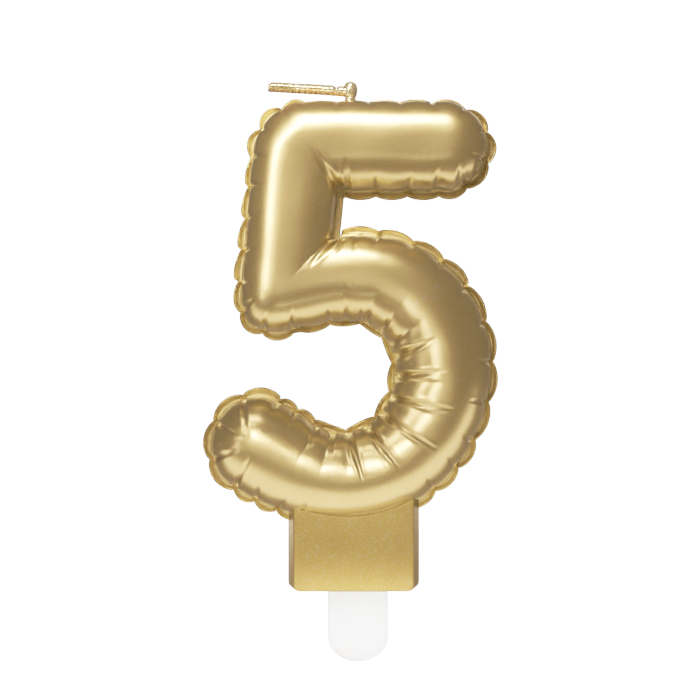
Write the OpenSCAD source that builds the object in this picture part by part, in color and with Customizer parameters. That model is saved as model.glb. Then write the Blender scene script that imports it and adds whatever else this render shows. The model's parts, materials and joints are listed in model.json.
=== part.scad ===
// Number five birthday candle: a wax digit in the shape of an inflated foil balloon,
// with a scalloped seam all round, on a plain block with a plastic cake pick.
// Millimetres. +Z up, +X to the reader's right, the front faces -Y.
// The origin is the middle of the block's underside, where the candle meets the cake.

/* [Digit] */
// Height of the centre line of the top bar above the cake
bar_z = 80.0; // [78:0.5:84]
// Centre of the round right end of the top bar
bar_end_x = 15.9; // [12:0.1:20]
// Corner where the top bar meets the stem
corner_x = -9.9; // [-12:0.1:-8]
// Radius of the top bar's tube
bar_r = 7.86; // [7:0.02:8.4]
// Radius of the stem's tube, a little more than the other tubes
stem_r = 8.0; // [7.9:0.02:8.6]
// Radius of the bowl's tube
bowl_r = 7.85; // [7.7:0.05:7.9]
// Radius of the straight lead-in from the stem to the bowl, a little less than the bowl's
lead_r = 7.6; // [7:0.05:7.65]
// Radius of the straight tail, a little more than the bowl's
tail_r = 8.0; // [7.95:0.05:8.3]
// Centre of the bowl, across
bowl_x = -1.4; // [-3:0.1:0]
// Centre of the bowl, up
bowl_z = 38.2; // [36:0.1:40]
// Radius of the bowl's centre line
bowl_ring_r = 17.85; // [17:0.05:19]
// Angle of the bowl at which the straight lead-in from the stem joins it
bowl_from = 97; // [92:1:104]
// Angle of the bowl at which the straight tail leaves it
bowl_to = -117.5; // [-124:0.5:-108]
// Length of the straight tail, up to the centre of its round tip
tail_l = 8.7; // [5:0.1:11]

/* [Seam] */
// Thickness of the seam flange
seam_t = 1.4; // [1:0.1:2]
// How full each scallop is: 1 is a plain wave, and less is rounder
fullness = 0.7; // [0.5:0.05:1]
// How far a scallop's crest stands past the tube
crest_h = 1.4; // [1:0.1:1.8]
// How far the plain edge between two scallops stands past the tube
rim_h = 0.35; // [0.2:0.05:0.6]
// How much lower the scallops sit along the top of the bar
top_drop = 0.75; // [0:0.05:1]
// Width of the plain seam strip in the notch beside the stem
strip_w = 1.1; // [0.6:0.1:1.5]

/* [Block] */
// Width of the block at its parting line
block_w = 23.8; // [22:0.1:26]
// Width of the block's front and back faces
block_face_w = 21.5; // [20:0.1:21.9]
// Thickness of the block, front to back
block_t = 8.4; // [7:0.1:11]
// Radius of the block's bottom corners
block_corner_r = 1.2; // [0.6:0.1:2]

/* [Pick] */
// Width of the pick's blade
pick_w = 10.9; // [9:0.1:12]
// Thickness of the pick's blade
pick_t = 1.6; // [1.2:0.1:2]
// Sideways place of the pick in the block
pick_x = 0.75; // [-1:0.05:1]
// Straight length of the pick below the block
pick_straight_l = 8.65; // [6:0.05:14]
// Length of the pick's half-oval point
pick_point_l = 4.65; // [3:0.05:6]
// Length of the pick's tang inside the block
tang_l = 10.5; // [8:0.5:11]
// Play of the tang in its slot, on each side
pick_play = 0.08; // [0.05:0.01:0.1]

/* [Wick] */
// Sideways place of the wick on the bar
wick_x = -0.6; // [-3:0.1:3]
// Depth of the braid inside the bar
wick_depth = 13; // [8:0.5:14]
// Radius of the bare braid
braid_r = 0.62; // [0.4:0.02:0.8]
// Radius of the coated stub where the wick leaves the bar
stub_r = 1.05; // [0.9:0.05:1.2]
// Height of the centre of the bend above the cake
knee_z = 89.95; // [89.8:0.05:90.4]
// Radius of the bead of wax at the bend
knee_r = 1.2; // [1.1:0.05:1.3]
// Radius of the bead's upper lump
lump_r = 1.0; // [0.8:0.05:1.1]
// Length of the bent wick, from the centre of the bend to its cut end
tail_wick_l = 15.0; // [10:0.1:20]
// Radius of the bent wick's coat
coat_r = 0.86; // [0.76:0.02:0.9]
// Upward lean of the bent wick from level
wick_lean = 3.0; // [0:0.5:10]

/* [Hidden] */
$fn = 96;

gold = [0.76, 0.65, 0.42];
dark_gold = [0.62, 0.5, 0.28];
cotton = [0.86, 0.78, 0.62];
white = [0.95, 0.95, 0.95];

// A point at an angle on a ring round the bowl's centre
function on_bowl(ring, angle) = [bowl_x + ring * cos(angle), bowl_z + ring * sin(angle)];
// The direction of the centre line at an angle, going clockwise round the bowl
function clockwise(angle) = [sin(angle), -cos(angle)];

lead_start = on_bowl(bowl_ring_r, bowl_from);
tail_start = on_bowl(bowl_ring_r, bowl_to);
tail_tip = tail_start + tail_l * clockwise(bowl_to);
// The straight tubes reach this far into the bowl's ring, so that they are one solid
lap = 0.4;
lead_end = lead_start + lap * clockwise(bowl_from);
tail_root = tail_start - lap * clockwise(bowl_to);
bar_corner = [corner_x, bar_z];
bar_end = [bar_end_x, bar_z];
// The stem's foot, where the lead-in's own line reaches it
foot_x = corner_x - 2.2;
foot = lead_start + (foot_x - lead_start.x) / clockwise(bowl_from).x * clockwise(bowl_from);

// Straight steps in one scallop's edge
facets = 8;
// Where the notch between the bar and the bowl ends, and the plain strip's edge in it
notch_x = -1.6;
strip_x = corner_x + stem_r - 1.6 + strip_w;
slot_h = tang_l + 0.5;
block_h = 17;
far = 60;
skin = 0.05;

// How far the seam's edge stands past the tube, u scallops along
function lift(u, crest) = rim_h + (crest - rim_h) * pow(abs(sin(180 * u)), fullness);
// The unit vector on the left of the way from a to b
function left_of(a, b) = let (d = (b - a) / norm(b - a)) [-d.y, d.x];
// n scallops along a straight edge from a to b, with the outside on the left
function line_edge(a, b, n, crest = crest_h) =
    [for (u = [0 : 1 / facets : n - 0.5 / facets]) a + (b - a) * u / n + lift(u, crest) * left_of(a, b)];
// n scallops round a centre, from one angle to another; side is 1 on an outer edge and -1 on an inner one
function arc_edge(centre, r, from, to, n, crest = crest_h, side = 1) =
    [for (u = [0 : 1 / facets : n - 0.5 / facets])
        let (t = from + (to - from) * u / n) centre + (r + side * lift(u, crest)) * [cos(t), sin(t)]];

// Moves a drawing in the plane of the digit upright, thick from front to back
module upright(thick) {
    translate([0, thick / 2, 0]) rotate([90, 0, 0]) linear_extrude(thick) children();
}

// A round bar from a to b, with a round end at b, and at a too if asked
module tube(a, b, r, round_a = false) {
    len = norm(b - a);
    turn = atan2(b.x - a.x, b.y - a.y);
    translate([a.x, 0, a.y]) rotate([0, turn, 0]) rotate_extrude() {
        translate([0, 0]) square([r, len]);
        intersection() {
            translate([0, len]) circle(r);
            translate([0, len]) square([r, r]);
        }
        if (round_a) {
            intersection() {
                circle(r);
                translate([0, -r]) square([r, r]);
            }
        }
    }
}

// A round bar from a to b with flat ends
module rod(a, b, r) {
    translate([a.x, 0, a.y]) rotate([0, atan2(b.x - a.x, b.y - a.y), 0]) cylinder(h = norm(b - a), r = r);
}

// The ring of the bowl, from its lead-in round to its tail
module bowl_ring(r) {
    translate([bowl_x, 0, bowl_z]) rotate([90, 0, 0]) rotate([0, 0, bowl_to])
        rotate_extrude(angle = bowl_from - bowl_to) translate([bowl_ring_r, 0]) circle(r);
}

// The digit's tubes, solid
module digit() {
    union() {
        tube(bar_corner, bar_end, bar_r);
        tube(bar_corner, foot, stem_r, round_a = true);
        rod(foot, lead_end, lead_r);
        bowl_ring(bowl_r);
        tube(tail_root, tail_tip, tail_r);
    }
}

module number_figure() {
    color(gold) difference() {
        digit();
        translate([wick_x, 0, bar_z + bar_r - wick_depth]) cylinder(h = wick_depth + 1, r = braid_r);
    }
}

// The edge of the seam, clockwise round the digit from its top left corner
function seam_outline() =
    let (
        up = [0, 1],
        stem_edge = stem_r * left_of(foot, bar_corner),
        lead_edge = lead_r * left_of(lead_start, foot),
        tail_edge = tail_r * left_of(tail_start, tail_tip),
        outer_r = bowl_ring_r + bowl_r,
        inner_r = bowl_ring_r - bowl_r,
        bowl = [bowl_x, bowl_z],
        notch_top = bar_z - bar_r - crest_h,
        notch_foot = bowl_z + outer_r + rim_h
    )
    concat(
        arc_edge(bar_corner, stem_r, 182, 98, 2),
        line_edge([corner_x - 1, bar_z + bar_r], [bar_end_x - 1.8, bar_z + bar_r], 4, crest_h - top_drop),
        arc_edge(bar_end, bar_r, 103, 55, 1, crest_h - top_drop),
        arc_edge(bar_end, bar_r, 55, -58, 3),
        arc_edge(bar_end, bar_r, -58, -95, 1),
        line_edge([bar_end_x - 0.7, bar_z - bar_r], [notch_x, bar_z - bar_r], 3),
        [[notch_x, notch_top], [strip_x, notch_top - 0.4], [strip_x, notch_foot + 0.4]],
        arc_edge(bowl, outer_r, 91.5, -65.5, 11),
        arc_edge(bowl, outer_r, -65.5, bowl_to, 4),
        line_edge(tail_start + tail_edge, tail_tip + tail_edge, 1),
        arc_edge(tail_tip, tail_r, 254, 91, 4),
        line_edge(tail_tip + tail_r * up, tail_start - tail_edge, 2),
        arc_edge(bowl, inner_r, -122, 75, 6, side = -1),
        arc_edge(bowl, inner_r, 75, bowl_from, 1, side = -1),
        line_edge(lead_start + lead_edge, foot + lead_edge + [1, 0], 1),
        arc_edge(foot, stem_r, 278, 175, 3),
        line_edge(foot + stem_edge, bar_corner + stem_edge, 4)
    );

module seam_flange() {
    color(dark_gold) difference() {
        upright(seam_t) polygon(seam_outline());
        digit();
        base_solid();
        translate([wick_x, 0, bar_z]) cylinder(h = far, r = stub_r);
    }
}

// The block before the digit's tube is taken out of its top
module base_solid() {
    half = block_w / 2;
    face = block_face_w / 2;
    deep = block_t / 2;
    intersection() {
        linear_extrude(block_h)
            polygon([[-half, 0], [-face, -deep], [face, -deep], [half, 0], [face, deep], [-face, deep]]);
        upright(block_t + 2) {
            translate([-half, block_corner_r]) square([block_w, block_h]);
            translate([block_corner_r - half, 0]) square([block_w - 2 * block_corner_r, block_h]);
            for (side = [-1, 1])
                translate([side * (half - block_corner_r), block_corner_r]) circle(block_corner_r);
        }
    }
}

module base_block() {
    color(gold) difference() {
        base_solid();
        digit();
        translate([pick_x - pick_w / 2 - pick_play, -pick_t / 2 - pick_play, -1])
            cube([pick_w + 2 * pick_play, pick_t + 2 * pick_play, slot_h + 1]);
    }
}

module wick_anchor_braid() {
    color(cotton) translate([wick_x, 0, bar_z + bar_r - wick_depth])
        cylinder(h = knee_z - knee_r - skin - (bar_z + bar_r - wick_depth), r = braid_r);
}

module wick_stub_coat() {
    color(gold) difference() {
        translate([wick_x, 0, bar_z + bar_r - 0.6]) cylinder(h = knee_z - 1 - (bar_z + bar_r - 0.6), r = stub_r);
        tube(bar_corner, bar_end, bar_r);
        translate([wick_x, 0, bar_z]) cylinder(h = far, r = braid_r);
        translate([wick_x, 0, knee_z]) sphere(r = knee_r + skin);
    }
}

// Places children on the bend, pointing along the bent wick
module along_wick() {
    translate([wick_x, 0, knee_z]) rotate([0, wick_lean - 90, 0]) children();
}

module wick_knee_bead() {
    color(gold) difference() {
        union() {
            translate([wick_x, 0, knee_z]) sphere(r = knee_r);
            translate([wick_x + 0.05, 0, knee_z + 0.9]) sphere(r = lump_r);
        }
        along_wick() cylinder(h = far, r = coat_r);
    }
}

module wick_tail_braid() {
    color(cotton) along_wick() cylinder(h = tail_wick_l, r = braid_r);
}

module wick_tail_coat() {
    color(gold) along_wick() difference() {
        cylinder(h = tail_wick_l - 0.3, r = coat_r);
        translate([0, 0, -1]) cylinder(h = far, r = braid_r);
    }
}

// The pick's outline: a flat tang and blade with a half-oval point
module pick_outline() {
    half = pick_w / 2;
    translate([pick_x, 0]) polygon(concat(
        [[half, tang_l], [-half, tang_l]],
        [for (t = [180 : 7.5 : 360]) [half * cos(t), -pick_straight_l + pick_point_l * sin(t)]]
    ));
}

module cake_pick() {
    color(white) upright(pick_t) pick_outline();
}

number_figure();
seam_flange();
base_block();
wick_anchor_braid();
wick_stub_coat();
wick_knee_bead();
wick_tail_braid();
wick_tail_coat();
cake_pick();
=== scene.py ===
import json
import math

import bpy
import numpy as np
from bpy.props import FloatProperty, FloatVectorProperty, PointerProperty
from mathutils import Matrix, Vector
from mathutils.kdtree import KDTree


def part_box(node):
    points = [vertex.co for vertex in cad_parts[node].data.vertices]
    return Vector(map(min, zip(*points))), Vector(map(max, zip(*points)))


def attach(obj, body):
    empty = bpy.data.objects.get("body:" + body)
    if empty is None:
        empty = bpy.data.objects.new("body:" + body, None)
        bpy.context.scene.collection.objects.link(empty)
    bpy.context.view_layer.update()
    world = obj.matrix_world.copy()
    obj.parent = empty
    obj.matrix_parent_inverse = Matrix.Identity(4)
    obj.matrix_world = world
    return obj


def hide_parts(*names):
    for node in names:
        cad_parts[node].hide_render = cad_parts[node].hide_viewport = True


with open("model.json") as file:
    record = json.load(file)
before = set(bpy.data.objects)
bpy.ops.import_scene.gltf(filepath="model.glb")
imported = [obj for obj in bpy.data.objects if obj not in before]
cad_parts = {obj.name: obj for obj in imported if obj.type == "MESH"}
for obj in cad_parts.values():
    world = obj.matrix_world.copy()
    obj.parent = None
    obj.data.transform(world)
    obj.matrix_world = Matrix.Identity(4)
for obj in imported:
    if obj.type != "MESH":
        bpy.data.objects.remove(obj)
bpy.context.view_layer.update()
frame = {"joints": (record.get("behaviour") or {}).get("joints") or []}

bl_info = {
    "name": "Number candle",
    "version": (1, 0, 0),
    "blender": (4, 5, 0),
    "location": "3D View > Sidebar > Candle",
    "description": "Builds a number five birthday candle round its packed model",
    "category": "Add Mesh",
}

MM = 0.001
FIGURE_LOW, FIGURE_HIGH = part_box("number_figure")
BLOCK_LOW, BLOCK_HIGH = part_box("base_block")
PICK_LOW, PICK_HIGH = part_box("cake_pick")
STUB_LOW, STUB_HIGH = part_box("wick_stub_coat")
ANCHOR_LOW, ANCHOR_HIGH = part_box("wick_anchor_braid")
KNEE_LOW, KNEE_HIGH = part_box("wick_knee_bead")
KNEE = next(j["pos_m"] for j in frame["joints"] if j["name"] == "wick_lift")

# ---------------------------------------------------------------- sizes and colours


def length(name, text, value):
    return FloatProperty(name=name, description=text, default=value, min=0, unit="LENGTH")


def colour(name, text, value):
    return FloatVectorProperty(name=name, description=text, default=value, size=3, min=0, max=1,
                               subtype="COLOR")


class CandleSizes(bpy.types.PropertyGroup):
    """Sizes that a user may change"""

    bar_radius: length("Bar radius", "Half height of the top bar", 7.9 * MM)
    stem_radius: length("Stem radius", "Half width of the stem", 8.0 * MM)
    bowl_radius: length("Bowl radius", "Half width of the bowl at its slimmest", 7.6 * MM)
    ring_radius: length("Ring radius", "Radius of the bowl's centre line", 17.85 * MM)
    tail_length: length("Tail length", "Straight length of the tail", 8.7 * MM)
    depth: length("Depth", "Half thickness of the digit, front to back", 7.5 * MM)
    seam_half: length("Seam half thickness", "Half thickness of the seam flange", 0.66 * MM)
    grain: length("Grain", "Size of one fleck of the metallic lacquer", 0.14 * MM)


class CandleColours(bpy.types.PropertyGroup):
    """Colours that a user may change"""

    gold: colour("Gold", "Champagne gold lacquer", (0.74, 0.465, 0.13))
    deep_gold: colour("Deep gold", "Lacquer where it lies thin", (0.62, 0.36, 0.085))
    cotton: colour("Cotton", "Braid soaked in wax and lacquer", (0.60, 0.36, 0.14))
    plastic: colour("Plastic", "White plastic of the pick", (0.93, 0.93, 0.92))
    studio: colour("Studio", "Floor and backdrop", (0.93, 0.93, 0.93))


# ---------------------------------------------------------------- mesh helpers


def nothing_selected():
    if bpy.context.mode != "OBJECT":
        bpy.ops.object.mode_set(mode="OBJECT")
    bpy.ops.object.select_all(action="DESELECT")


def settle(piece, smooth_angle=50):
    """Puts a finished piece's place into its mesh, closes it and smooths its shading."""
    nothing_selected()
    piece.select_set(True)
    bpy.context.view_layer.objects.active = piece
    bpy.ops.object.transform_apply(location=True, rotation=True, scale=True)
    bpy.ops.object.mode_set(mode="EDIT")
    bpy.ops.mesh.select_all(action="SELECT")
    bpy.ops.mesh.remove_doubles(threshold=0.002 * MM)
    bpy.ops.mesh.normals_make_consistent(inside=False)
    bpy.ops.object.mode_set(mode="OBJECT")
    bpy.ops.object.shade_smooth_by_angle(angle=math.radians(smooth_angle))
    return piece


def points_of(piece):
    co = np.empty(len(piece.data.vertices) * 3, np.float32)
    piece.data.vertices.foreach_get("co", co)
    return co.reshape(-1, 3).astype(float)


def move_points(piece, co):
    piece.data.vertices.foreach_set("co", co.astype(np.float32).ravel())
    piece.data.update()


def rolled_grid(name, rows, columns, place, smooth_angle=50):
    """A flat grid rolled into a closed skin: place(row, column) is each crossing's place in millimetres."""
    nothing_selected()
    bpy.ops.mesh.primitive_grid_add(x_subdivisions=rows, y_subdivisions=columns, size=1)
    piece = bpy.context.object
    piece.name = name
    piece.data.name = name
    flat = points_of(piece)
    row = np.rint((flat[:, 0] + 0.5) * rows).astype(int)
    column = np.rint((flat[:, 1] + 0.5) * columns).astype(int)
    move_points(piece, place(row, column) * MM)
    return settle(piece, smooth_angle)


def dress(piece, body, slot, material, *nodes):
    """Gives a finished piece its body, its material and the parts it stands for."""
    piece.data.materials.clear()
    piece.data.materials.append(material)
    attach(piece, body)
    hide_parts(*nodes)
    return piece


# ---------------------------------------------------------------- the digit's plan, in millimetres

BAR_LENGTH = 25.8  # from the corner to the centre of the bar's round end
BAR_INSET = 8.4  # from the figure's right side to that centre
LEAD_LENGTH = 8.58  # straight lead-in from the foot to the bowl
BOWL_REACH = 25.7  # from the bowl's centre to the figure's right side and its bottom
BOWL_FROM, BOWL_TO = 97, -117.5  # the bowl's arc, in degrees
TAIL_CAP = 8.0  # length of the tail's round end
FOOT_BULGE = 1.3  # how much fuller the outer side of the foot is than a plain round
CORNER_ROUND = 2.4  # extra radius of the top corner at its outer edge
CORNER_GROWTH = 4.5  # how far from the front's middle that radius is reached
FLAT_BAR, FLAT_BOWL = 2.7, 2.25  # flatness of the front, for section()


def left(way):
    return np.stack([-way[..., 1], way[..., 0]], -1)


def bump(at, centre, half):
    """1 at the centre, falling smoothly to 0 half away on both sides"""
    return np.cos(np.clip((at - centre) / half, -1, 1) * math.pi / 2) ** 2


class Plan:
    """The digit's centre line: bar, corner, stem, foot, then lead-in, bowl and tail as one run"""

    def __init__(self, sizes):
        low, high = np.array(FIGURE_LOW) / MM, np.array(FIGURE_HIGH) / MM
        self.bar_r = sizes.bar_radius / MM
        self.stem_r = sizes.stem_radius / MM
        self.bowl_r = sizes.bowl_radius / MM
        self.ring = sizes.ring_radius / MM
        self.deep = sizes.depth / MM
        self.tail_l = sizes.tail_length / MM
        self.bowl = np.array([high[0] - BOWL_REACH, low[2] + BOWL_REACH])
        self.bar_end = np.array([high[0] - BAR_INSET, high[2] - self.stem_r])
        self.corner = np.array([self.bar_end[0] - BAR_LENGTH, self.bar_end[1]])
        self.start, self.stop = math.radians(BOWL_FROM), math.radians(BOWL_TO)
        self.lead_way = np.array([math.sin(self.start), -math.cos(self.start)])
        lead_end = self.bowl + self.ring * np.array([math.cos(self.start), math.sin(self.start)])
        self.foot = lead_end - LEAD_LENGTH * self.lead_way
        self.bowl_l = self.ring * (self.start - self.stop)
        self.run_l = LEAD_LENGTH + self.bowl_l + self.tail_l
        self.stem_l = float(np.linalg.norm(self.foot - self.corner))
        self.stem_way = (self.foot - self.corner) / self.stem_l
        self.bar_way = np.array([-1.0, 0.0])
        self.turn_top = math.acos(float(self.bar_way @ self.stem_way))
        self.turn_foot = math.acos(float(self.stem_way @ self.lead_way))
        self.round_back = CORNER_ROUND * math.tan(self.turn_top / 2)
        self.round_centre = self.corner - self.round_back * self.bar_way + CORNER_ROUND * left(self.bar_way)

    def corner_round(self, x):
        """Extra radius of the top corner's outer side, growing from the front's middle to the edge"""
        t = np.clip(-x / CORNER_GROWTH, 0, 1)
        return CORNER_ROUND * t * t * (3 - 2 * t)

    def at(self, angle_deg):
        """Distance along the run to an angle of the bowl"""
        return LEAD_LENGTH + self.ring * (self.start - np.radians(angle_deg))

    def run(self, q):
        """Centre and way of the run, q along it"""
        q = np.asarray(q, float)
        angle = self.start - (np.clip(q, LEAD_LENGTH, LEAD_LENGTH + self.bowl_l) - LEAD_LENGTH) / self.ring
        spoke = np.stack([np.cos(angle), np.sin(angle)], -1)
        way = np.stack([np.sin(angle), -np.cos(angle)], -1)
        extra = np.minimum(q - LEAD_LENGTH, 0) + np.maximum(q - LEAD_LENGTH - self.bowl_l, 0)
        return self.bowl + self.ring * spoke + extra[..., None] * way, way

    def run_width(self, q, side):
        """Half width of the run on its outer side (side 1) or inner side (side -1)"""
        q = np.asarray(q, float)
        tail = LEAD_LENGTH + self.bowl_l
        outer = self.bowl_r + 1.6 * bump(q, LEAD_LENGTH + 17, 22) + 1.4 * bump(q, tail + 5, 14)
        inner = self.bowl_r - 0.2 + 1.65 * bump(q, LEAD_LENGTH + 36, 30) + 0.7 * bump(q, self.run_l, 14)
        inner = inner + 0.5 * bump(q, 0, 8)
        return np.where(side > 0, outer, inner)

    def edge(self, q_from, q_to, side):
        """Edge of the run between two places, with its outward direction"""
        q = np.linspace(q_from, q_to, max(8, int(abs(q_to - q_from) * 3)))
        centre, way = self.run(q)
        out = side * left(way)
        return centre + out * self.run_width(q, side)[:, None], out

    def tip(self):
        """Round end of the tail, from its outer side to its inner side"""
        turn = np.linspace(0, math.pi, 40)
        centre, way = self.run(self.run_l)
        wide = np.where(turn < math.pi / 2, self.run_width(self.run_l, 1), self.run_width(self.run_l, -1))
        across = np.cos(turn)[:, None] * left(way)
        along = np.sin(turn)[:, None] * way
        return centre + wide[:, None] * across + TAIL_CAP * along, across + along

    def straight(self, a, b):
        """A straight stretch of edge, with its outward direction on the left"""
        way = (b - a) / np.linalg.norm(b - a)
        t = np.linspace(0, 1, 20)[:, None]
        return a + (b - a) * t, np.repeat(left(way)[None], 20, 0)

    def arc(self, centre, radius, from_deg, to_deg, bulge=0.0):
        """A round stretch of edge, fuller in its middle by the bulge"""
        t = np.linspace(0, 1, 40)
        angle = np.radians(from_deg + (to_deg - from_deg) * t)
        out = np.stack([np.cos(angle), np.sin(angle)], -1)
        return centre + out * (radius + bulge * np.sin(math.pi * t) ** 2)[:, None], out


def section(turn, wide_left, wide_right, deep, flat):
    """Places round one cross section: across and towards the front.

    flat is 2 for an oval and more for a flatter front.
    """
    c, s = np.cos(turn), np.sin(turn)
    r = (np.abs(c) ** flat + np.abs(s) ** flat) ** (-1 / flat)
    return r * c * np.where(c > 0, wide_left, wide_right), -r * s * deep


def cap_scale(past, radius, flat):
    """How much a round end has drawn in, past its centre: across and in depth"""
    t = np.clip(past / radius, 0, 1)
    return np.sqrt(1 - t * t), (1 - t**flat) ** (1 / flat)


def digit_rows(plan):
    """One row per ring of the digit: its kind, and its place along or its share of the turn"""
    dome = np.linspace(math.pi / 2, 0, 34)
    rows = [("bar", -plan.bar_r * math.sin(a)) for a in dome]
    rows += [("bar", q) for q in np.linspace(0, BAR_LENGTH, 86)[1:]]
    rows += [("top", t) for t in np.linspace(0, 1, 34)[1:]]
    rows += [("stem", q) for q in np.linspace(0, plan.stem_l, 92)[1:]]
    rows += [("heel", t) for t in np.linspace(0, 1, 40)[1:]]
    rows += [("run", q) for q in np.linspace(0, plan.run_l, 392)[1:]]
    rows += [("run", plan.run_l + TAIL_CAP * math.sin(a)) for a in dome[::-1][1:]]
    return rows


def digit_point(plan, kind, value, turn):
    """Points round one ring of the digit"""
    deep = plan.deep
    zero = np.zeros_like(turn)
    if kind == "bar":
        across, depth = cap_scale(max(-value, 0), plan.bar_r, FLAT_BAR)
        x, y = section(turn, plan.bar_r * across, plan.bar_r * across, deep * depth, FLAT_BAR)
        back = (np.maximum(x, 0) + plan.corner_round(x)) * math.tan(plan.turn_top / 2)
        room, rest = 14.0, BAR_LENGTH - value
        rest = np.where(rest < room, back + rest * (1 - back / room), rest + zero)
        centre = plan.corner - rest[:, None] * plan.bar_way
        out = left(plan.bar_way) + zero[:, None]
    elif kind in ("top", "heel"):
        angle = plan.turn_top if kind == "top" else plan.turn_foot
        pivot = plan.corner if kind == "top" else plan.foot
        way = plan.bar_way if kind == "top" else plan.stem_way
        inner = plan.bar_r if kind == "top" else plan.bowl_r
        outer = plan.stem_r + (0 if kind == "top" else FOOT_BULGE * math.sin(math.pi * value) ** 2)
        x, y = section(turn, inner, outer, deep, FLAT_BAR)
        back = np.maximum(x, 0) * math.tan(angle / 2)
        spin = np.where(x > 0, 0, angle * value)
        c, s = np.cos(spin), np.sin(spin)
        turned = np.stack([way[0] * c - way[1] * s, way[0] * s + way[1] * c], -1)
        extra = plan.corner_round(x) if kind == "top" else zero
        back = back + extra * math.tan(angle / 2)
        out = left(turned)
        centre = pivot - back[:, None] * way + extra[:, None] * (left(way) - out)
    elif kind == "stem":
        t = value / plan.stem_l
        inner = plan.bar_r + (plan.bowl_r - plan.bar_r) * t
        x, y = section(turn, inner, plan.stem_r, deep, FLAT_BAR)
        room = plan.stem_l / 2
        top, foot = value, plan.stem_l - value
        back_top = (np.maximum(x, 0) + plan.corner_round(x)) * math.tan(plan.turn_top / 2)
        back_foot = np.maximum(x, 0) * math.tan(plan.turn_foot / 2)
        if top < room:
            place = back_top + top * (1 - back_top / room)
        else:
            place = plan.stem_l - (back_foot + foot * (1 - back_foot / room))
        centre = plan.corner + place[:, None] * plan.stem_way
        out = left(plan.stem_way) + zero[:, None]
    else:
        past = max(value - plan.run_l, 0)
        q = min(value, plan.run_l)
        blend = 16  # length over which the bar's section turns into the bowl's
        mix = float(np.clip(q / blend, 0, 1))
        flat = FLAT_BAR + (FLAT_BOWL - FLAT_BAR) * mix
        across, depth = cap_scale(past, TAIL_CAP, flat)
        wide_out = plan.bowl_r if q < 1e-9 else float(plan.run_width(q, 1))
        wide_in = plan.stem_r if q < 1e-9 else float(plan.run_width(q, -1))
        thick = deep + 0.5 * float(bump(q, LEAD_LENGTH + 30, 30)) + 0.4 * float(bump(q, plan.run_l, 12))
        x, y = section(turn, wide_out * across, wide_in * across, thick * depth, flat)
        back = np.maximum(x, 0) * math.tan(plan.turn_foot / 2)
        room = 18.0
        place = np.where(value < room, back + value * (1 - back / room), value + zero)
        centre, way = plan.run(place)
        out = left(way)
    flat_place = centre + out * x[:, None]
    return np.stack([flat_place[:, 0], y, flat_place[:, 1]], -1)


# ---------------------------------------------------------------- the seam's line


class Stretch:
    """A stretch of the seam: its line, its number of scallops and how far they stand out

    neck and crest are the reach between and at the middle of the scallops, at both ends of the stretch.
    skew leans the scallops, pucker and deep are the length and depth of the gathers between them,
    and groove is 1 where the flange has pockets.
    """

    def __init__(self, edge, count, neck, crest, skew=1.0, pucker=3.0, deep=0.22, groove=1.0):
        self.points, self.outs = edge
        self.count, self.neck, self.crest = count, neck, crest
        self.skew, self.pucker, self.deep, self.groove = skew, pucker, deep, groove

    def stations(self, steps):
        """Points along the line: place, outward direction, reach, wave and place within the scallop"""
        gaps = np.linalg.norm(np.diff(self.points, axis=0), axis=1)
        along = np.concatenate([[0], np.cumsum(gaps)])
        along = along / along[-1]
        t = np.arange(self.count * steps) / (self.count * steps)
        line = np.stack([np.interp(t, along, self.points[:, k]) for k in (0, 1)], -1)
        out = np.stack([np.interp(t, along, self.outs[:, k]) for k in (0, 1)], -1)
        out /= np.linalg.norm(out, axis=1)[:, None]
        u = (t * self.count) % 1
        wave = np.abs(np.sin(math.pi * u**self.skew)) ** 0.72
        neck = self.neck[0] + (self.neck[1] - self.neck[0]) * t
        crest = self.crest[0] + (self.crest[1] - self.crest[0]) * t
        return line, out, neck + (crest - neck) * wave, wave, u


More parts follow.
